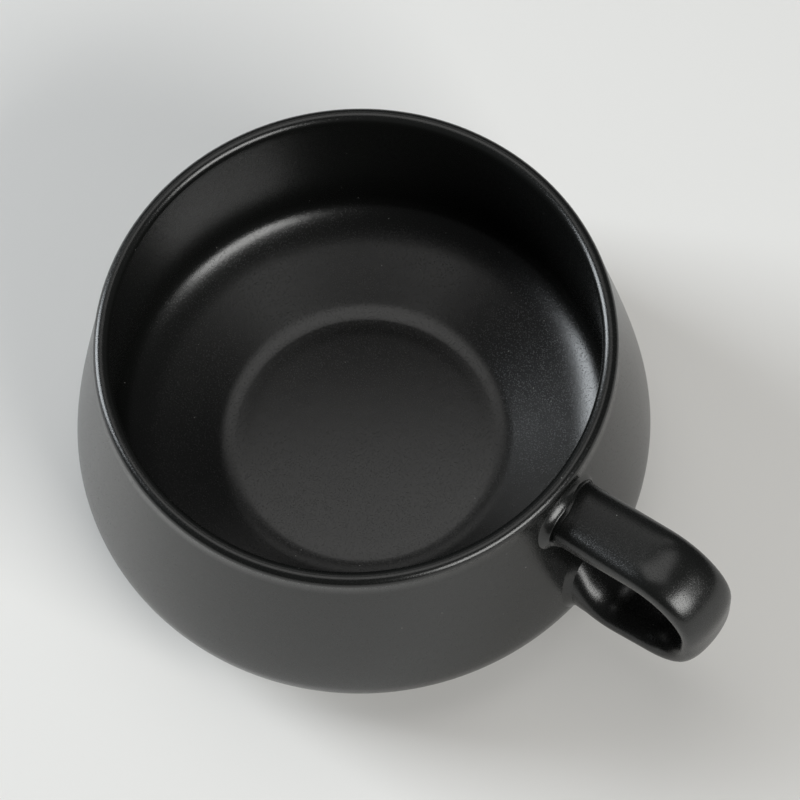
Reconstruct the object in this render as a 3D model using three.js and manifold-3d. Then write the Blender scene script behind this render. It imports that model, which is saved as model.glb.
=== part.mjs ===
// A low, wide drinking cup in stoneware with a one-finger strap handle.
// The body is cast, the handle is cast by itself and stuck on with slip, and each of the two
// slip joints is a piece of its own between the handle's root and the wall.
// Millimetres, +Z up. The part stands on z = 0 and its handle points along +X.

import * as THREE from "three";
import { mergeVertices } from "three/addons/utils/BufferGeometryUtils.js";
import Module from "manifold-3d";

const wasm = await Module();
wasm.setup();

// Body, outside
const CUP_HEIGHT = 54;
const RIM_DIAMETER = 96;
const LIP_THICKNESS = 3;
const LIP_FLAT = 0.1;
const RIM_BAND_HEIGHT = 2;
const RIM_BAND_FLARE = 0.1;
const BELLY_DIAMETER = 109.6;
const BELLY_HEIGHT = 17.3;
const BELLY_SHOULDER_RISE = 4.5;
const UNDERSIDE_SLOPE = 0.25;
const UNDERSIDE_ROUND_WIDTH = 9;

// Body, foot ring
const FOOT_DIAMETER = 64;
const FOOT_RING_WIDTH = 4.5;
const FOOT_RING_HEIGHT = 3.9;
const FOOT_RECESS_DEPTH = 3;
const FOOT_EDGE_ROUND = 0.8;

// Body, inside
const WALL_THICKNESS = 6.5;
const FLOOR_HEIGHT = 7.9;
const FLOOR_DIAMETER = 54;
const FLOOR_RING_ROUND = 12;
const INNER_SLOPE = 0.324;
const INNER_CORNER_WIDTH = 9;
const INNER_CORNER_HEIGHT = 2.6;

// Handle
const HANDLE_REACH = 27.2;
const HANDLE_TOP_DROP = 5.7;
const HANDLE_TOP_RISE_DEG = 10.9;
const HANDLE_FOOT_HEIGHT = 15.2;
const HANDLE_FOOT_RISE_DEG = 19.3;
const STRAP_WIDTH = 13;
const STRAP_THICKNESS = 5.5;
const STRAP_EDGE_ROUND = 2.3;
const STRAP_LEAST_FLAT = 0.3;
const LIMB_THICKNESS = 4.9;
const UPPER_ROOT_DEPTH = 8.8;
const LOWER_FLARE_LENGTH = 6.5;
const LOWER_FLARE_RISE_DEG = 38;
const LOWER_FLARE_ROUND = 7;
const OUTER_TOP_ROUND = 10;
const OUTER_FOOT_ROUND = 12;

// Slip joints
const SLIP_LAYER = 0.7;
const SLIP_BEAD_PROUD = 1.8;
const SLIP_SIDE_MARGIN = 1.9;
const SLIP_END_MARGIN = 1.1;
const SLIP_CORNER_ROUND = 4.5;
const SEAT_CLEARANCE = 0.3;

// Facet counts
const LATHE_SEGMENTS = 60;
const CURVE_STEPS = 6;
const BODY_ROUND_STEP_DEG = 30;
const STRAP_ROUND_STEP_DEG = 15;
const BEVEL_STEPS = 4;

const RIM_RADIUS = RIM_DIAMETER / 2;
const BELLY_RADIUS = BELLY_DIAMETER / 2;
const FOOT_RADIUS = FOOT_DIAMETER / 2;
const FLOOR_RADIUS = FLOOR_DIAMETER / 2;

// Points of a polyline whose corners with a round are replaced by arcs.
function roundedLine(corners, stepDegrees) {
  const points = [];
  corners.forEach((corner, index) => {
    const here = new THREE.Vector2(corner.x, corner.y);
    if (!corner.round) {
      points.push(here);
      return;
    }
    const last = corners[(index + corners.length - 1) % corners.length];
    const next = corners[(index + 1) % corners.length];
    const back = new THREE.Vector2(last.x, last.y).sub(here).normalize();
    const ahead = new THREE.Vector2(next.x, next.y).sub(here).normalize();
    const half = Math.acos(THREE.MathUtils.clamp(back.dot(ahead), -1, 1)) / 2;
    const centre = back.clone().add(ahead).normalize().multiplyScalar(corner.round / Math.sin(half)).add(here);
    const start = back.clone().multiplyScalar(corner.round / Math.tan(half)).add(here).sub(centre);
    const turn = Math.PI - 2 * half;
    const side = Math.sign(ahead.cross(back));
    const steps = Math.max(2, Math.round(THREE.MathUtils.radToDeg(turn) / stepDegrees));
    for (let step = 0; step <= steps; step += 1) {
      points.push(start.clone().rotateAround(new THREE.Vector2(), (side * turn * step) / steps).add(centre));
    }
  });
  return points;
}

// Points along a bend between two tangents that meet at the middle point.
function bend(from, through, to) {
  return new THREE.QuadraticBezierCurve(from, through, to).getPoints(CURVE_STEPS);
}

const at = (x, y, round = 0) => Object.assign(new THREE.Vector2(x, y), { round });

// Outline of the outside, from the foot's outer edge up to the rim band, as radius and height.
function outsideProfile(grow) {
  const bandFoot = CUP_HEIGHT - RIM_BAND_HEIGHT;
  const undersideAt = (radius) => FOOT_RING_HEIGHT + (radius - FOOT_RADIUS) * UNDERSIDE_SLOPE;
  const roundStart = BELLY_RADIUS - UNDERSIDE_ROUND_WIDTH;
  const belly = new THREE.Vector2(BELLY_RADIUS, BELLY_HEIGHT);
  const points = [
    new THREE.Vector2(FOOT_RADIUS, FOOT_RING_HEIGHT),
    ...bend(
      new THREE.Vector2(roundStart, undersideAt(roundStart)),
      new THREE.Vector2(BELLY_RADIUS, undersideAt(BELLY_RADIUS)),
      belly,
    ),
    ...bend(
      belly,
      new THREE.Vector2(BELLY_RADIUS, BELLY_HEIGHT + BELLY_SHOULDER_RISE),
      new THREE.Vector2(RIM_RADIUS + RIM_BAND_FLARE, bandFoot),
    ).slice(1),
  ];
  return points.map((point) => new THREE.Vector2(point.x + grow, point.y));
}

// Outside radius of the wall at a height, between the foot and the rim band.
function wallRadius(height) {
  const outline = outsideProfile(0);
  const above = outline.findIndex((point) => point.y > height);
  const high = outline[above];
  const low = outline[above - 1];
  return THREE.MathUtils.mapLinear(height, low.y, high.y, low.x, high.x);
}

// A turned solid about +Z from radius and height points that start and end on the axis.
function turned(profile) {
  return new THREE.LatheGeometry(profile, LATHE_SEGMENTS).rotateX(Math.PI / 2);
}

function toSolid(geometry) {
  const bare = geometry.clone();
  bare.deleteAttribute("normal");
  bare.deleteAttribute("uv");
  const merged = mergeVertices(bare);
  const corners = Array.from(merged.index.array);
  const triVerts = [];
  for (let i = 0; i < corners.length; i += 3) {
    const [a, b, c] = corners.slice(i, i + 3);
    if (a !== b && b !== c && c !== a) triVerts.push(a, b, c);
  }
  const vertProperties = new Float32Array(merged.attributes.position.array);
  const mesh = new wasm.Mesh({ numProp: 3, vertProperties, triVerts: new Uint32Array(triVerts) });
  return new wasm.Manifold(mesh);
}

function toGeometry(solid) {
  const mesh = solid.getMesh();
  const geometry = new THREE.BufferGeometry();
  geometry.setAttribute("position", new THREE.BufferAttribute(mesh.vertProperties, 3));
  geometry.setIndex(new THREE.BufferAttribute(mesh.triVerts, 1));
  geometry.computeVertexNormals();
  return geometry;
}

// Full solid of everything inside the outer surface moved out by a distance.
function wallSolid(grow) {
  const outline = outsideProfile(grow);
  const first = outline[0];
  const last = outline[outline.length - 1];
  const base = new THREE.Vector2(0, first.y);
  const top = new THREE.Vector2(last.x, CUP_HEIGHT);
  return toSolid(turned([base, ...outline, top, new THREE.Vector2(0, CUP_HEIGHT)]));
}

// Cup body: foot ring, underside, belly, leaning wall, rim band, round lip, inside wall,
// sloping inner shoulder and a flat floor inside a soft ring.
function cupBody() {
  const footInner = FOOT_RADIUS - FOOT_RING_WIDTH;
  const foot = roundedLine([
    at(0, FOOT_RECESS_DEPTH),
    at(footInner, FOOT_RECESS_DEPTH, FOOT_EDGE_ROUND),
    at(footInner, 0, FOOT_EDGE_ROUND),
    at(FOOT_RADIUS, 0, FOOT_EDGE_ROUND),
    at(FOOT_RADIUS, FOOT_RING_HEIGHT),
  ], BODY_ROUND_STEP_DEG);
  const lipInner = RIM_RADIUS - LIP_THICKNESS;
  const bandFoot = CUP_HEIGHT - RIM_BAND_HEIGHT;
  const lipRound = (LIP_THICKNESS - LIP_FLAT) / 2;
  const lip = roundedLine([
    at(RIM_RADIUS + RIM_BAND_FLARE, bandFoot),
    at(RIM_RADIUS, CUP_HEIGHT, lipRound),
    at(lipInner, CUP_HEIGHT, lipRound),
    at(lipInner, bandFoot),
  ], BODY_ROUND_STEP_DEG);
  const innerBelly = BELLY_RADIUS - WALL_THICKNESS;
  const slopeAt = (radius) => FLOOR_HEIGHT + (radius - FLOOR_RADIUS) * INNER_SLOPE;
  const corner = new THREE.Vector2(innerBelly, slopeAt(innerBelly));
  const wallFoot = new THREE.Vector2(innerBelly, corner.y + INNER_CORNER_HEIGHT);
  const shoulder = new THREE.Vector2(innerBelly, wallFoot.y + BELLY_SHOULDER_RISE);
  const slopeTop = innerBelly - INNER_CORNER_WIDTH;
  const inside = [
    ...bend(new THREE.Vector2(lipInner, bandFoot), shoulder, wallFoot).slice(1),
    ...bend(wallFoot, corner, new THREE.Vector2(slopeTop, slopeAt(slopeTop))).slice(1, -1),
  ];
  const floor = roundedLine([
    at(slopeTop, slopeAt(slopeTop)),
    at(FLOOR_RADIUS, FLOOR_HEIGHT, FLOOR_RING_ROUND),
    at(0, FLOOR_HEIGHT),
  ], BODY_ROUND_STEP_DEG);
  const outside = outsideProfile(0).slice(1, -1);
  return turned([...foot, ...outside, ...lip, ...inside, ...floor]);
}

// A straight line through a point with a rise, giving the height at any distance from the axis.
const lineThrough = (x, y, degrees) => (far) => y + (far - x) * Math.tan(THREE.MathUtils.degToRad(degrees));

// Side outline of the handle: a strap that leaves the wall under the rim, turns down and comes
// back to the belly on a flared foot. Both roots run into the wall and are trimmed there.
const topHeight = CUP_HEIGHT - HANDLE_TOP_DROP;
const topLine = lineThrough(wallRadius(topHeight), topHeight, HANDLE_TOP_RISE_DEG);
const footLine = lineThrough(wallRadius(HANDLE_FOOT_HEIGHT), HANDLE_FOOT_HEIGHT, HANDLE_FOOT_RISE_DEG);
const handleOuter = BELLY_RADIUS + HANDLE_REACH;
const handleInner = handleOuter - LIMB_THICKNESS;
const innerTopRound = OUTER_TOP_ROUND - LIMB_THICKNESS;
const innerFootRound = OUTER_FOOT_ROUND - LIMB_THICKNESS;
const thinnest = Math.min(STRAP_THICKNESS, LIMB_THICKNESS);
const edgeRound = Math.min(STRAP_EDGE_ROUND, (thinnest - STRAP_LEAST_FLAT) / 2);
const upperRootX = wallRadius(topHeight - UPPER_ROOT_DEPTH) - WALL_THICKNESS;
const lowerRootX = wallRadius(HANDLE_FOOT_HEIGHT) - WALL_THICKNESS;
const footStrapDrop = STRAP_THICKNESS / Math.cos(THREE.MathUtils.degToRad(HANDLE_FOOT_RISE_DEG));
const flareStart = BELLY_RADIUS + LOWER_FLARE_LENGTH;
const flareFoot = footLine(flareStart) + footStrapDrop;
const flareLine = lineThrough(flareStart, flareFoot, -LOWER_FLARE_RISE_DEG);

function handleShape() {
  const topCorner = topLine(handleOuter);
  const undersideOuter = topLine(handleInner) - STRAP_THICKNESS;
  const undersideRoot = topLine(upperRootX) - UPPER_ROOT_DEPTH;
  const footInner = footLine(handleInner) + footStrapDrop;
  return new THREE.Shape(roundedLine([
    at(upperRootX, topLine(upperRootX)),
    at(upperRootX, undersideRoot),
    at(handleInner, undersideOuter, innerTopRound),
    at(handleInner, footInner, innerFootRound),
    at(flareStart, flareFoot, LOWER_FLARE_ROUND),
    at(lowerRootX, flareLine(lowerRootX)),
    at(lowerRootX, footLine(lowerRootX)),
    at(handleOuter, footLine(handleOuter), OUTER_FOOT_ROUND),
    at(handleOuter, topCorner, OUTER_TOP_ROUND),
  ], STRAP_ROUND_STEP_DEG));
}

// The strap's outline given its width across Y, with rounded edges, and grown all round.
function strapSolid(grow) {
  const geometry = new THREE.ExtrudeGeometry(handleShape(), {
    depth: STRAP_WIDTH - 2 * edgeRound,
    steps: 1,
    bevelEnabled: true,
    bevelThickness: edgeRound + grow,
    bevelSize: edgeRound + grow,
    bevelOffset: -edgeRound,
    bevelSegments: BEVEL_STEPS,
  });
  geometry.translate(0, 0, edgeRound - STRAP_WIDTH / 2);
  geometry.rotateX(Math.PI / 2);
  return toSolid(geometry);
}

// A slip joint: a pad on the wall behind the handle's root with a bead standing round the root.
function slipJoint(lowHeight, highHeight) {
  const halfWidth = STRAP_WIDTH / 2 + SLIP_SIDE_MARGIN;
  const low = lowHeight - SLIP_END_MARGIN;
  const high = highHeight + SLIP_END_MARGIN;
  const outline = new THREE.Shape(roundedLine([
    at(-halfWidth, low, SLIP_CORNER_ROUND),
    at(halfWidth, low, SLIP_CORNER_ROUND),
    at(halfWidth, high, SLIP_CORNER_ROUND),
    at(-halfWidth, high, SLIP_CORNER_ROUND),
  ], STRAP_ROUND_STEP_DEG));
  const block = new THREE.ExtrudeGeometry(outline, { depth: BELLY_RADIUS, steps: 1, bevelEnabled: false });
  block.rotateX(Math.PI / 2);
  block.rotateZ(Math.PI / 2);
  block.translate(RIM_RADIUS / 2, 0, 0);
  const root = strapSolid(SEAT_CLEARANCE).subtract(wallSolid(SEAT_CLEARANCE + SLIP_LAYER));
  const skin = wallSolid(SLIP_BEAD_PROUD).subtract(wallSolid(SEAT_CLEARANCE));
  return toGeometry(toSolid(block).intersect(skin).subtract(root));
}

const handle = toGeometry(strapSolid(0).subtract(wallSolid(SLIP_LAYER + 2 * SEAT_CLEARANCE)));
const upperRootTop = topLine(wallRadius(topHeight) + SLIP_BEAD_PROUD);
const upperJoint = slipJoint(topHeight - UPPER_ROOT_DEPTH, upperRootTop);
const lowerRootTop = flareLine(wallRadius(flareLine(BELLY_RADIUS)));
const lowerJoint = slipJoint(HANDLE_FOOT_HEIGHT, lowerRootTop);

const blackGlaze = { color: 0x1b1c1b, roughness: 0.45, metalness: 0 };

function piece(name, geometry) {
  const mesh = new THREE.Mesh(geometry, new THREE.MeshStandardMaterial(blackGlaze));
  mesh.name = name;
  return mesh;
}

// The origin is under the middle of the whole part, so the cup's axis stands off to -X.
const cup = new THREE.Group();
cup.position.x = -HANDLE_REACH / 2;
cup.add(
  piece("cup_body", cupBody()),
  piece("handle", handle),
  piece("upper_slip_joint", upperJoint),
  piece("lower_slip_joint", lowerJoint),
);

const part = new THREE.Group();
part.add(cup);

export default part;
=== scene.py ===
# A low, wide drinking cup in stoneware with a matte black glaze and a one-finger strap handle.
# Metres, +Z up. The cup stands on z = 0 and its handle points along +X.

import math

import bmesh
import bpy
from mathutils import Matrix, Vector


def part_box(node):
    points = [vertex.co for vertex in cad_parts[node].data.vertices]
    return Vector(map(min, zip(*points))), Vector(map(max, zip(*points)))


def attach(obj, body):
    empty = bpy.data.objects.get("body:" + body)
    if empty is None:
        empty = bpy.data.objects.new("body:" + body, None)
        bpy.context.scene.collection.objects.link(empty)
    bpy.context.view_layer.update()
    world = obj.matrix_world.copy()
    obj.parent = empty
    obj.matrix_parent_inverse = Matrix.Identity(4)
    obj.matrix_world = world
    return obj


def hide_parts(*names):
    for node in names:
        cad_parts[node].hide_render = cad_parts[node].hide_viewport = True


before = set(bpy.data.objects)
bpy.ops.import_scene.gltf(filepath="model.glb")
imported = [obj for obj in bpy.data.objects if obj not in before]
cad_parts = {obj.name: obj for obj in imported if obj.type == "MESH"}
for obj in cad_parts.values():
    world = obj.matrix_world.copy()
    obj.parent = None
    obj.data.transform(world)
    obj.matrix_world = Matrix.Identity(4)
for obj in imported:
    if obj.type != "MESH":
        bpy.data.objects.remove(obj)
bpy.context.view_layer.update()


# Cup body
# Stoneware, slip cast in one with its foot ring: the belly sits low and the wall leans in to a crease
# under a round lip. Inside are a soft corner, a sloping shoulder and a slightly domed floor. Satin black
# glaze covers all but the foot ring's tread, which is wiped bare before firing.
MM = 0.001
body_low, body_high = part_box("cup_body")
AXIS_X = (body_low.x + body_high.x) / 2
CUP_HEIGHT = body_high.z
BELLY_RADIUS = (body_high.y - body_low.y) / 2
BELLY_HEIGHT = 17.3 * MM
BELLY_SHOULDER_RISE = 4.5 * MM
RIM_RADIUS = 48 * MM
CREASE_DROP = 2 * MM
CREASE_INSET = 0.10 * MM
LIP_THICKNESS = 3 * MM
LIP_OUTER_ROUND = 1.45 * MM
LIP_INNER_DROP = 1.6 * MM
FOOT_RADIUS = 32 * MM
FOOT_RING_WIDTH = 4.5 * MM
FOOT_RING_HEIGHT = 3.9 * MM
FOOT_RECESS_DEPTH = 3 * MM
FOOT_EDGE_ROUND = 0.8 * MM
FOOT_ROOT_ROUND = 1.5 * MM
UNDERSIDE_SLOPE = 0.25
UNDERSIDE_ROUND_WIDTH = 9 * MM
WALL_THICKNESS = 7.2 * MM
FLOOR_HEIGHT = 7.9 * MM
FLOOR_RADIUS = 27 * MM
FLOOR_RING_ROUND = 12 * MM
FLOOR_DOME = 0.62 * MM
INNER_SLOPE = 0.324
INNER_CORNER_WIDTH = 8 * MM
INNER_CORNER_HEIGHT = 3.4 * MM
TURNED_SEGMENTS = 192
FOOT_EDGE_STEPS = 5
LIP_STEPS = 12


def bend(start, corner, end, steps):
    """Points from start to end along a curve whose end tangents meet at the corner."""
    points = []
    for step in range(steps + 1):
        t = step / steps
        points.append(start * (1 - t) ** 2 + corner * 2 * t * (1 - t) + end * t ** 2)
    return points


def rounded(before, corner, after, radius, steps):
    """Points of the arc that rounds a corner between two straight runs."""
    back = (before - corner).normalized()
    ahead = (after - corner).normalized()
    half = back.angle(ahead) / 2
    centre = corner + (back + ahead).normalized() * (radius / math.sin(half))
    start = corner + back * (radius / math.tan(half)) - centre
    turn = math.pi - 2 * half
    if back.x * ahead.y - back.y * ahead.x > 0:
        turn = -turn
    points = []
    for step in range(steps + 1):
        spin = Matrix.Rotation(turn * step / steps, 2)
        points.append(centre + spin @ start)
    return points


def quarter(start, corner, end, steps):
    """Points of a quarter ellipse from start to end whose end tangents meet square at the corner."""
    centre = start + end - corner
    points = []
    for step in range(steps + 1):
        angle = math.pi / 2 * step / steps
        points.append(centre + (start - centre) * math.cos(angle) + (end - centre) * math.sin(angle))
    return points


def straight(start, end, steps):
    """Points between start and end, without the two ends."""
    return [start.lerp(end, step / steps) for step in range(1, steps)]


def underside(radius):
    """The point of the sloping underside at a radius."""
    return Vector((radius, FOOT_RING_HEIGHT + (radius - FOOT_RADIUS) * UNDERSIDE_SLOPE))


def shoulder(radius):
    """The point of the sloping inner shoulder at a radius."""
    return Vector((radius, FLOOR_HEIGHT + (radius - FLOOR_RADIUS) * INNER_SLOPE))


foot_inner = FOOT_RADIUS - FOOT_RING_WIDTH
recess_centre = Vector((0, FOOT_RECESS_DEPTH))
recess_corner = Vector((foot_inner, FOOT_RECESS_DEPTH))
tread_inner = Vector((foot_inner, 0))
tread_outer = Vector((FOOT_RADIUS, 0))
foot_root = Vector((FOOT_RADIUS, FOOT_RING_HEIGHT))
round_start = underside(BELLY_RADIUS - UNDERSIDE_ROUND_WIDTH)
round_corner = underside(BELLY_RADIUS)
belly = Vector((BELLY_RADIUS, BELLY_HEIGHT))
belly_shoulder = Vector((BELLY_RADIUS, BELLY_HEIGHT + BELLY_SHOULDER_RISE))
crease = Vector((RIM_RADIUS - CREASE_INSET, CUP_HEIGHT - CREASE_DROP))
lip_outer = Vector((RIM_RADIUS, CUP_HEIGHT - LIP_OUTER_ROUND))
lip_outer_corner = Vector((RIM_RADIUS, CUP_HEIGHT))
lip_top = Vector((RIM_RADIUS - LIP_OUTER_ROUND, CUP_HEIGHT))
lip_inner_corner = Vector((RIM_RADIUS - LIP_THICKNESS, CUP_HEIGHT))
lip_inner = Vector((RIM_RADIUS - LIP_THICKNESS, CUP_HEIGHT - LIP_INNER_DROP))
inner_radius = BELLY_RADIUS - WALL_THICKNESS
inner_corner = shoulder(inner_radius)
wall_foot = inner_corner + Vector((0, INNER_CORNER_HEIGHT))
wall_shoulder = wall_foot + Vector((0, BELLY_SHOULDER_RISE))
slope_top = shoulder(inner_radius - INNER_CORNER_WIDTH)
floor_ring = Vector((FLOOR_RADIUS, FLOOR_HEIGHT))
floor_centre = Vector((0, FLOOR_HEIGHT))

foot_run = straight(recess_centre, recess_corner, 6)
foot_run += rounded(recess_centre, recess_corner, tread_inner, FOOT_EDGE_ROUND, FOOT_EDGE_STEPS)
foot_run += rounded(recess_corner, tread_inner, tread_outer, FOOT_EDGE_ROUND, FOOT_EDGE_STEPS)
foot_run += rounded(tread_inner, tread_outer, foot_root, FOOT_EDGE_ROUND, FOOT_EDGE_STEPS)
foot_run += rounded(tread_outer, foot_root, round_start, FOOT_ROOT_ROUND, FOOT_EDGE_STEPS)
foot_run += straight(foot_root, round_start, 5)[1:]
wall_outside = bend(round_start, round_corner, belly, 14)
wall_outside += bend(belly, belly_shoulder, crease, 30)[1:]
lip_run = straight(crease, lip_outer, 3)
lip_run += quarter(lip_outer, lip_outer_corner, lip_top, LIP_STEPS)
lip_run += quarter(lip_top, lip_inner_corner, lip_inner, LIP_STEPS)[1:]
inside_run = bend(lip_inner, wall_shoulder, wall_foot, 32)[1:]
inside_run += bend(wall_foot, inner_corner, slope_top, 26)[1:]
inside_run += straight(slope_top, floor_ring, 8)[:6]
inside_run += rounded(slope_top, floor_ring, floor_centre, FLOOR_RING_ROUND, 8)
for point in straight(floor_ring, floor_centre, 14)[1:] + [floor_centre]:
    inside_run.append(point + Vector((0, FLOOR_DOME * (1 - (point.x / FLOOR_RADIUS) ** 2))))
body_profile = [recess_centre] + foot_run + wall_outside + lip_run + inside_run


def closed_mesh(name, rows, wraps):
    """A piece from rows of points that close round, with each end drawn to a point or capped."""
    points = []
    starts = []
    for row in rows:
        starts.append(len(points))
        points += row
    faces = []
    for (low, low_row), (high, high_row) in zip(zip(starts, rows), zip(starts[1:], rows[1:])):
        for step in range(wraps):
            ahead = (step + 1) % wraps
            corners = [low + step % len(low_row), low + ahead % len(low_row)]
            corners += [high + ahead % len(high_row), high + step % len(high_row)]
            faces.append(list(dict.fromkeys(corners)))
    if len(rows[0]) > 1:
        faces.append(list(range(len(rows[0])))[::-1])
    if len(rows[-1]) > 1:
        faces.append([starts[-1] + step for step in range(len(rows[-1]))])
    mesh = bpy.data.meshes.new(name)
    mesh.from_pydata(points, [], faces)
    shell = bmesh.new()
    shell.from_mesh(mesh)
    bmesh.ops.recalc_face_normals(shell, faces=shell.faces)
    shell.to_mesh(mesh)
    shell.free()
    mesh.shade_smooth()
    piece = bpy.data.objects.new(name, mesh)
    bpy.context.scene.collection.objects.link(piece)
    return piece


def turned_row(point):
    """The ring that a profile point draws about the cup's axis, or one point on the axis."""
    if point.x == 0:
        return [Vector((AXIS_X, 0, point.y))]
    row = []
    for step in range(TURNED_SEGMENTS):
        angle = 2 * math.pi * step / TURNED_SEGMENTS
        row.append(Vector((AXIS_X + point.x * math.cos(angle), point.x * math.sin(angle), point.y)))
    return row


class Wire:
    """A socket in a node tree. Arithmetic on it adds Math nodes."""

    def __init__(self, tree, socket=None):
        self.tree = tree
        self.socket = socket

    def node(self, kind, settings, sockets, output=0):
        """Adds a node, sets its settings, then its sockets' values or links, and gives one output."""
        made = self.tree.nodes.new(kind)
        for name, value in settings.items():
            setattr(made, name, value)
        for name, value in sockets.items():
            if isinstance(value, Wire):
                self.tree.links.new(value.socket, made.inputs[name])
            else:
                made.inputs[name].default_value = value
        return Wire(self.tree, made.outputs[output] if len(made.outputs) else None)

    def math(self, operation, left, right):
        return self.node("ShaderNodeMath", {"operation": operation}, {0: left, 1: right})

    def __add__(self, other):
        return self.math("ADD", self, other)

    def __radd__(self, other):
        return self.math("ADD", other, self)

    def __mul__(self, other):
        return self.math("MULTIPLY", self, other)

    def __rmul__(self, other):
        return self.math("MULTIPLY", other, self)

    def __lt__(self, other):
        return self.math("LESS_THAN", self, other)

    def __gt__(self, other):
        return self.math("GREATER_THAN", self, other)


GLAZE_DEEP = (0.0045, 0.0048, 0.0045, 1)
GLAZE_THIN = (0.0075, 0.0080, 0.0074, 1)
DUST = (0.20, 0.20, 0.19, 1)
BARE_CLAY = (0.36, 0.29, 0.21, 1)
GLAZE_IOR = 1.52
NOISE_FINENESS = 0.6
GRAIN_SIZE = 0.28 * MM
GRAIN_DEPTH = 0.006 * MM
PIT_EDGE = 0.50
PIT_BOTTOM = 0.68
PEEL_SIZE = 3.0 * MM
PEEL_DEPTH = 0.010 * MM
CLOUD_SIZE = 24 * MM
SPECK_SPACING = 2.2 * MM
SPECK_RADIUS_SHARE = 0.05
SPECK_PICK = 0.85
BODY_ROUGHNESS = 0.21
CLOUD_ROUGHNESS = 0.04
PIT_ROUGHNESS = 0.06
CLAY_ROUGHNESS = 0.85
TREAD_EDGE = 0.35 * MM


def new_paint(name):
    """An empty material, the start of its tree and the place on the piece."""
    material = bpy.data.materials.new(name)
    material.use_nodes = True
    material.node_tree.nodes.clear()
    start = Wire(material.node_tree)
    return material, start, start.node("ShaderNodeTexCoord", {}, {}, "Object")


def noise(start, place, size, detail):
    """Soft noise from 0 to 1 whose patches are about that size."""
    look = {"Vector": place, "Scale": 1 / size, "Detail": detail, "Roughness": NOISE_FINENESS}
    return start.node("ShaderNodeTexNoise", {}, look)


def mixed(share, first, second):
    """A colour between two, by a share from 0 to 1."""
    return share.node("ShaderNodeMix", {"data_type": "RGBA"}, {0: share, 6: first, 7: second}, 2)


def eased(value, low, high):
    """0 below low, 1 above high, and soft between."""
    settings = {"interpolation_type": "SMOOTHSTEP"}
    return value.node("ShaderNodeMapRange", settings, {"Value": value, "From Min": low, "From Max": high})


def specks(start, place):
    """1 on sparse tiny specks of dust, 0 elsewhere."""
    cell = {"Vector": place, "Scale": 1 / SPECK_SPACING}
    near = start.node("ShaderNodeTexVoronoi", {}, cell, "Distance")
    pick = start.node("ShaderNodeTexVoronoi", {}, cell, "Color")
    red = start.node("ShaderNodeSeparateColor", {}, {"Color": pick}, "Red")
    return (near < SPECK_RADIUS_SHARE) * (red > SPECK_PICK)


def satin_glaze(start, place, colour, roughness, unevenness):
    """The glaze's shader: fine pits that are rougher than the rest, over a slight unevenness."""
    pits = eased(noise(start, place, GRAIN_SIZE, 2), PIT_EDGE, PIT_BOTTOM)
    swell = noise(start, place, PEEL_SIZE, 1)
    peel = start.node("ShaderNodeBump", {}, {"Distance": PEEL_DEPTH * unevenness, "Height": swell})
    pitted = start.node("ShaderNodeBump", {}, {"Distance": -GRAIN_DEPTH, "Height": pits, "Normal": peel})
    look = {
        "Base Color": colour,
        "Roughness": roughness + pits * PIT_ROUGHNESS,
        "Normal": pitted,
        "IOR": GLAZE_IOR,
    }
    return start.node("ShaderNodeBsdfPrincipled", {}, look)


def body_glaze():
    """Glaze that clouds slowly over the wall and stops at the foot ring's bare tread."""
    material, start, place = new_paint("body_glaze")
    cloud = noise(start, place, CLOUD_SIZE, 2)
    colour = mixed(specks(start, place), mixed(cloud, GLAZE_DEEP, GLAZE_THIN), DUST)
    height = start.node("ShaderNodeSeparateXYZ", {}, {"Vector": place}, "Z")
    bare = height + noise(start, place, PEEL_SIZE, 3) * TREAD_EDGE < TREAD_EDGE
    glazed = satin_glaze(start, place, colour, BODY_ROUGHNESS + cloud * CLOUD_ROUGHNESS, 1)
    clay_colour = mixed(noise(start, place, GRAIN_SIZE, 3), BARE_CLAY, GLAZE_THIN)
    clay_look = {"Base Color": clay_colour, "Roughness": CLAY_ROUGHNESS}
    clay = start.node("ShaderNodeBsdfPrincipled", {}, clay_look)
    surface = start.node("ShaderNodeMixShader", {}, {0: bare, 1: glazed, 2: clay})
    start.node("ShaderNodeOutputMaterial", {}, {"Surface": surface})
    return material


cup_body = closed_mesh("cup_body_glazed", [turned_row(point) for point in body_profile], TURNED_SEGMENTS)
cup_body.data.materials.append(body_glaze())
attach(cup_body, "root")
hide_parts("cup_body")


# Handle
# A strap cast by itself in the same stoneware and stuck on with slip: flattest along its top and rounder
# down its outer limb. It leaves the wall under the lip, turns down in a wide bend and comes back to the
# belly on a flared foot.
TOP_DROP = 5.7 * MM
TOP_RISE = math.tan(math.radians(10.9))
FOOT_START = 15.2 * MM
FOOT_RISE = math.tan(math.radians(19.3))
STRAP_WIDTH = 13 * MM
STRAP_THICKNESS = 5.5 * MM
STRAP_FULLNESS = 0.4 * MM
LIMB_THICKNESS = 4.9 * MM
UPPER_ROOT_DEPTH = 8.8 * MM
FLARE_START = 9.2 * MM
FLARE_CORNER = 5.8 * MM
FLARE_SLOPE_START = 1.7 * MM
FLARE_RISE = math.tan(math.radians(42))
OUTER_TOP_ROUND = 12.8 * MM
OUTER_FOOT_ROUND = 14 * MM
UPPER_ROOT_SINK = 3.2 * MM
LOWER_ROOT_SINK = 1.6 * MM
WIDEST_SHARE = 0.54
TOP_POWER = 2.8
LIMB_POWER = 2.1
INNER_POWER = 2.3
POWER_CHANGE_RISE = 3 * MM
POWER_CHANGE_DROP = 12 * MM
SECTION_STEPS = 72
TOP_STEPS = 16
BEND_STEPS = 14
LIMB_STEPS = 5
STRAP_FOOT_STEPS = 6
FLARE_STEPS = 7
STRAP_FOOT_SHARE = 0.4
handle_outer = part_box("handle")[1].x - AXIS_X + STRAP_FULLNESS
handle_inner = handle_outer - LIMB_THICKNESS


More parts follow.
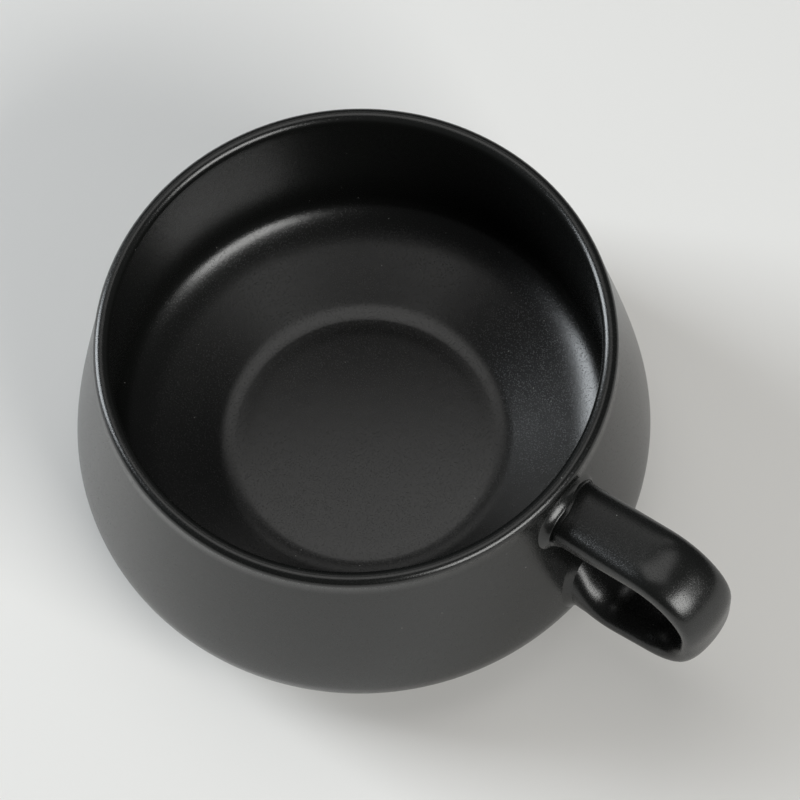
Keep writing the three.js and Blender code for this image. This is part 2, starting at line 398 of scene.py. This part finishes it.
def wall_radius(height):
    """Outside radius of the wall at a height between the underside and the crease."""
    for low, high in zip(wall_outside, wall_outside[1:]):
        if low.y <= height <= high.y:
            return low.x + (high.x - low.x) * (height - low.y) / (high.y - low.y)
    return wall_outside[-1].x


top_height = CUP_HEIGHT - TOP_DROP
top_start = wall_radius(top_height)
foot_start = wall_radius(FOOT_START)
rise_of_foot = Vector((0, STRAP_THICKNESS * math.sqrt(1 + FOOT_RISE ** 2)))


def top_line(distance):
    """The point of the strap's top at a distance from the cup's axis."""
    return Vector((distance, top_height + (distance - top_start) * TOP_RISE))


def foot_line(distance):
    """The point under the strap's foot at a distance from the cup's axis."""
    return Vector((distance, FOOT_START + (distance - foot_start) * FOOT_RISE))


def strap_side(root, top, foot, end, top_round, foot_round):
    """One side of the strap from its upper root round to the start of its foot."""
    top_arc = rounded(root, top, foot, top_round, BEND_STEPS)
    foot_arc = rounded(top, foot, end, foot_round, BEND_STEPS)
    run = [root] + straight(root, top_arc[0], TOP_STEPS) + top_arc
    return run + straight(top_arc[-1], foot_arc[0], LIMB_STEPS) + foot_arc


upper_root = wall_radius(top_height - UPPER_ROOT_DEPTH) - UPPER_ROOT_SINK
lower_root = foot_start - LOWER_ROOT_SINK
outer_end = foot_line(lower_root)
outer_side = strap_side(
    top_line(upper_root), top_line(handle_outer), foot_line(handle_outer), outer_end,
    OUTER_TOP_ROUND, OUTER_FOOT_ROUND,
)
outer_flare = outer_side[-1].lerp(outer_end, STRAP_FOOT_SHARE)
outer_side += straight(outer_side[-1], outer_flare, STRAP_FOOT_STEPS)
outer_side += [outer_flare] + straight(outer_flare, outer_end, 2 * FLARE_STEPS) + [outer_end]

inner_root = top_line(upper_root) - Vector((0, UPPER_ROOT_DEPTH))
inner_top = top_line(handle_inner) - Vector((0, STRAP_THICKNESS))
inner_foot = foot_line(handle_inner) + rise_of_foot
flare_start = foot_line(BELLY_RADIUS + FLARE_START) + rise_of_foot
flare_corner = foot_line(BELLY_RADIUS + FLARE_CORNER) + rise_of_foot


def flare_line(distance):
    """The point of the flare's slope at a distance from the cup's axis."""
    return flare_corner + Vector((distance - flare_corner.x, (flare_corner.x - distance) * FLARE_RISE))


slope_start = flare_line(BELLY_RADIUS + FLARE_SLOPE_START)
flare_end = flare_line(lower_root)
inner_side = strap_side(
    inner_root, inner_top, inner_foot, flare_start,
    OUTER_TOP_ROUND - LIMB_THICKNESS, OUTER_FOOT_ROUND - LIMB_THICKNESS,
)
inner_side += straight(inner_side[-1], flare_start, STRAP_FOOT_STEPS)
inner_side += bend(flare_start, flare_corner, slope_start, FLARE_STEPS)
inner_side += straight(slope_start, flare_end, FLARE_STEPS) + [flare_end]


def strap_row(outer, inner, outer_power):
    """The section between two points of the sides: a flat oval, squarer with a higher power."""
    middle = inner.lerp(outer, WIDEST_SHARE)
    row = []
    for step in range(SECTION_STEPS):
        turn = 2 * math.pi * step / SECTION_STEPS
        power = outer_power if math.sin(turn) > 0 else INNER_POWER
        across = math.copysign(abs(math.cos(turn)) ** (2 / power), math.cos(turn))
        rise = abs(math.sin(turn)) ** (2 / power)
        spot = middle.lerp(outer if math.sin(turn) > 0 else inner, rise)
        row.append(Vector((AXIS_X + spot.x, across * STRAP_WIDTH / 2, spot.y)))
    return row


def clamped(value):
    return min(max(value, 0), 1)


HANDLE_ROUGHNESS = 0.22
HELD_ROUGHNESS = 0.05
HELD_SIZE = 8 * MM


def handle_glaze():
    """The same glaze, a little polished in patches where fingers hold the strap."""
    material, start, place = new_paint("handle_glaze")
    held = noise(start, place, HELD_SIZE, 1)
    colour = mixed(specks(start, place), mixed(held, GLAZE_THIN, GLAZE_DEEP), DUST)
    surface = satin_glaze(start, place, colour, HANDLE_ROUGHNESS + held * HELD_ROUGHNESS, 1)
    start.node("ShaderNodeOutputMaterial", {}, {"Surface": surface})
    return material


strap_rows = []
for outer, inner in zip(outer_side, inner_side):
    past_bend = clamped((top_height + POWER_CHANGE_RISE - outer.y) / POWER_CHANGE_DROP)
    strap_rows.append(strap_row(outer, inner, TOP_POWER + (LIMB_POWER - TOP_POWER) * past_bend))
handle = closed_mesh("handle_strap", strap_rows, SECTION_STEPS)
handle.data.materials.append(handle_glaze())
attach(handle, "root")
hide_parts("handle")


# Slip joints
# The handle's two roots are stuck to the wall with slip, which squeezes out and is sponged off: above to
# a ridge with a groove beside the strap, below to a smooth flare. The ridge is thin on the side where the
# sponge was drawn along, and runs out to a plain sweep under the strap.
NEAR_MARGIN = 2.0 * MM
FAR_MARGIN = 0.5 * MM
UPPER_END_MARGIN = 3.2 * MM
LOWER_END_MARGIN = 1.6 * MM
BEAD_START = 3.4 * MM
BEAD_GROOVE = 0.35 * MM
BEAD_CREST = 1.3 * MM
BEAD_CREST_PEAK = 1.56 * MM
BEAD_SINK = 0.4 * MM
BEAD_FADE_START = -2 * MM
BEAD_FADE_LENGTH = 5 * MM
UPPER_FAR_SHARE = 0.15
LOWER_FAR_SHARE = 1.0
UNDER_SPREAD = 1.6
SWEEP_POWER = 4
FLARE_RUN = 1.8 * MM
FLARE_EDGE = 0.15 * MM
SEATING_ROUNDS = 12


def seated(point, direction):
    """The point moved along a direction until it lies on the outside of the wall."""
    spot = point.copy()
    for _ in range(SEATING_ROUNDS):
        out = math.hypot(spot.x - AXIS_X, spot.y) - wall_radius(spot.z)
        spot -= direction * (out / direction.x)
    return spot


def ridge_profile():
    """The upper bead's section: shares of the margin beside the strap, and heights off the wall."""
    on_strap = Vector((-0.06, BEAD_START))
    strap_corner = Vector((0, BEAD_GROOVE))
    groove = Vector((0.16, BEAD_GROOVE))
    groove_corner = Vector((0.36, BEAD_GROOVE))
    inner_crest = Vector((0.46, BEAD_CREST))
    crest_corner = Vector((0.52, BEAD_CREST_PEAK))
    outer_crest = Vector((0.58, BEAD_CREST))
    wall_corner = Vector((0.74, BEAD_GROOVE))
    in_wall = Vector((1.4, -BEAD_SINK))
    run = bend(on_strap, strap_corner, groove, 10)
    run += bend(groove, groove_corner, inner_crest, 8)[1:]
    run += bend(inner_crest, crest_corner, outer_crest, 6)[1:]
    return run + bend(outer_crest, wall_corner, in_wall, 10)[1:]


def filled_profile():
    """The upper bead's section under the strap: its groove is filled to a plain hollow sweep."""
    run = []
    for share, _ in ridge_profile():
        height = BEAD_START * max(1 - share, 0) ** SWEEP_POWER - BEAD_SINK * max(share, 0)
        run.append(Vector((share, height)))
    return run


def flare_profile():
    """The lower bead's section: a hollow sweep off the strap that runs out on the wall."""
    on_strap = Vector((-0.08, FLARE_RUN))
    sweep_corner = Vector((0.06, FLARE_EDGE))
    in_wall = Vector((1.1, -BEAD_SINK))
    return bend(on_strap, sweep_corner, in_wall, 20)


SLIP_ROUGHNESS = 0.22
SLIP_UNEVENNESS = 2


def slip_glaze():
    """The same glaze, uneven over the sponged slip."""
    material, start, place = new_paint("slip_glaze")
    colour = mixed(noise(start, place, PEEL_SIZE, 2), GLAZE_DEEP, GLAZE_THIN)
    surface = satin_glaze(start, place, colour, SLIP_ROUGHNESS, SLIP_UNEVENNESS)
    start.node("ShaderNodeOutputMaterial", {}, {"Surface": surface})
    return material


slip_paint = slip_glaze()


def slip_bead(name, node, profile, under_profile, root_row, strap_ahead, end_margin, far_share):
    """A bead round a root: its section stands on the wall square to the strap, lower on the far side."""
    columns = []
    for step, root in enumerate(root_row):
        ahead = (strap_ahead[step] - root).normalized()
        opposite = root_row[(step + SECTION_STEPS // 2) % SECTION_STEPS]
        tangent = root_row[(step + 1) % SECTION_STEPS] - root_row[step - 1]
        outward = ahead.cross(tangent).normalized()
        if outward.dot(root - opposite) < 0:
            outward.negate()
        side_margin = FAR_MARGIN if outward.y > 0 else NEAR_MARGIN
        margin = end_margin + (side_margin - end_margin) * abs(outward.y)
        farness = clamped((root.y - BEAD_FADE_START) / BEAD_FADE_LENGTH)
        under = clamped(-UNDER_SPREAD * outward.z)
        height_share = 1 + (far_share - 1) * farness * (1 - under)
        column = []
        for above, below in zip(profile, under_profile):
            share, height = above.lerp(below, under)
            on_wall = seated(root + outward * share * margin, ahead)
            column.append(on_wall + ahead * height * height_share)
        columns.append(column)
    rows = [list(row) for row in zip(*columns)]
    bead = closed_mesh(name, rows, SECTION_STEPS)
    bead.data.materials.append(slip_paint)
    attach(bead, "root")
    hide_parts(node)


slip_bead(
    "upper_slip_bead", "upper_slip_joint", ridge_profile(), filled_profile(),
    strap_rows[1], strap_rows[4], UPPER_END_MARGIN, UPPER_FAR_SHARE,
)
slip_bead(
    "lower_slip_bead", "lower_slip_joint", flare_profile(), flare_profile(),
    strap_rows[-2], strap_rows[-6], LOWER_END_MARGIN, LOWER_FAR_SHARE,
)


# Floor
# A plain pale studio table top, matt, wide enough to fill every view.
FLOOR_HALF = 4.0
FLOOR_PALE = (0.80, 0.79, 0.77, 1)
FLOOR_SHADE = (0.76, 0.75, 0.73, 1)
FLOOR_CLOUD_SIZE = 0.4
FLOOR_ROUGHNESS = 0.75

floor_corners = [(-FLOOR_HALF, -FLOOR_HALF, 0), (FLOOR_HALF, -FLOOR_HALF, 0)]
floor_corners += [(FLOOR_HALF, FLOOR_HALF, 0), (-FLOOR_HALF, FLOOR_HALF, 0)]
floor_mesh = bpy.data.meshes.new("table_top")
floor_mesh.from_pydata(floor_corners, [], [(0, 1, 2, 3)])
table_top = bpy.data.objects.new("table_top", floor_mesh)
bpy.context.scene.collection.objects.link(table_top)
floor_material, floor_start, floor_place = new_paint("table_top_paint")
floor_colour = mixed(noise(floor_start, floor_place, FLOOR_CLOUD_SIZE, 2), FLOOR_PALE, FLOOR_SHADE)
floor_look = {"Base Color": floor_colour, "Roughness": FLOOR_ROUGHNESS}
floor_surface = floor_start.node("ShaderNodeBsdfPrincipled", {}, floor_look)
floor_start.node("ShaderNodeOutputMaterial", {}, {"Surface": floor_surface})
floor_mesh.materials.append(floor_material)


# Camera
# It looks down on the cup from the handle's near side, far off with a long lens.
CAMERA_AZIMUTH = math.radians(44)
CAMERA_ELEVATION = math.radians(65.12)
CAMERA_DISTANCE = 0.6484
CAMERA_AIM = Vector((AXIS_X, 0, 52.8 * MM))
CAMERA_TURN = Vector((math.radians(-0.983), math.radians(-0.668), math.radians(-5.900)))
CAMERA_LENS = 160.1

right = Vector((math.cos(CAMERA_AZIMUTH), math.sin(CAMERA_AZIMUTH), 0))
level = Vector((math.sin(CAMERA_AZIMUTH), -math.cos(CAMERA_AZIMUTH), 0))
back = level * math.cos(CAMERA_ELEVATION) + Vector((0, 0, math.sin(CAMERA_ELEVATION)))
facing = Matrix((right, back.cross(right), back)).transposed()
facing = facing @ Matrix.Rotation(CAMERA_TURN.length, 3, CAMERA_TURN.normalized())
camera_data = bpy.data.cameras.new("camera")
camera_data.lens = CAMERA_LENS
camera = bpy.data.objects.new("camera", camera_data)
camera.matrix_world = Matrix.Translation(CAMERA_AIM + back * CAMERA_DISTANCE) @ facing.to_4x4()
bpy.context.scene.collection.objects.link(camera)
bpy.context.scene.camera = camera


# Lights
# Soft studio light: a tall box far left, a wide one low on the near right, a dim card on the far side
# and a wide soft box overhead.
COOL_WHITE = (0.91, 0.96, 1.0)
PLAIN_WHITE = (1.0, 1.0, 0.98)
WARM_WHITE = (1.0, 0.99, 0.97)
ROOM_GREY = (0.55, 0.56, 0.57, 1)
ROOM_STRENGTH = 0.12


def soft_box(name, azimuth, elevation, distance, width, height, brightness, colour):
    """A rectangular light that faces the cup. Azimuth is from the camera's right, anticlockwise."""
    turn = math.radians(azimuth)
    rise = math.radians(elevation)
    side = right * math.cos(turn) - level * math.sin(turn)
    away = side * math.cos(rise) + Vector((0, 0, math.sin(rise)))
    light = bpy.data.lights.new(name, "AREA")
    light.shape = "RECTANGLE"
    light.size = width
    light.size_y = height
    light.energy = brightness * math.pi * width * height
    light.color = colour
    lamp = bpy.data.objects.new(name, light)
    lamp.location = CAMERA_AIM + away * distance
    lamp.rotation_euler = away.to_track_quat("Z", "Y").to_euler()
    lamp.visible_camera = False
    bpy.context.scene.collection.objects.link(lamp)


soft_box(
    "far_left_box", azimuth=154, elevation=26, distance=1.2,
    width=0.54, height=0.74, brightness=11.5, colour=COOL_WHITE,
)
soft_box(
    "near_right_box", azimuth=309, elevation=31, distance=1.2,
    width=0.76, height=0.58, brightness=8.4, colour=PLAIN_WHITE,
)
soft_box(
    "far_card", azimuth=95, elevation=47, distance=1.2,
    width=1.05, height=0.26, brightness=0.75, colour=WARM_WHITE,
)
soft_box(
    "ceiling_box", azimuth=86, elevation=81, distance=1.5,
    width=1.0, height=0.86, brightness=1.35, colour=WARM_WHITE,
)

world = bpy.data.worlds.new("studio")
world.use_nodes = True
background = world.node_tree.nodes["Background"]
background.inputs["Color"].default_value = ROOM_GREY
background.inputs["Strength"].default_value = ROOM_STRENGTH
bpy.context.scene.world = world
bpy.context.scene.view_settings.view_transform = "Standard"
